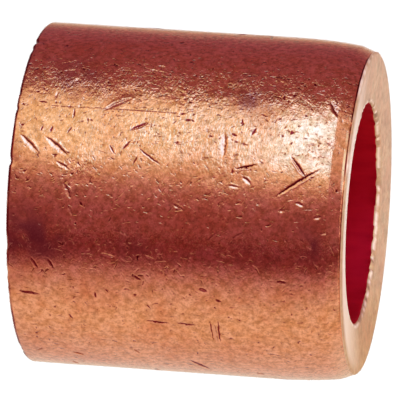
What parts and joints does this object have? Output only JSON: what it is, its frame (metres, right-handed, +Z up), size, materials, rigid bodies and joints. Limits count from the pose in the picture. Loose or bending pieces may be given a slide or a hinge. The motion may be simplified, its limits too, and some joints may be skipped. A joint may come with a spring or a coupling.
{
  "type": "concentric reducer",
  "caption": "Short flush copper solder bushing: its outside enters a larger pipe socket, and a coaxial socket in the other end takes a smaller tube.",
  "frame": {"origin": "middle of the turning axis, half way between the two end faces", "axes": "+X along the axis towards the lead-in end, -X out of the tube socket, +Z up with the fitting lying on its side"},
  "size_m": [0.0214, 0.022, 0.022],
  "materials": {
    "copper": "tumbled bare copper, with a pale cut end face and a dark red bore"
  },
  "bodies": {
    "root": {"reducer_body": "copper"}
  },
  "joints": []
}
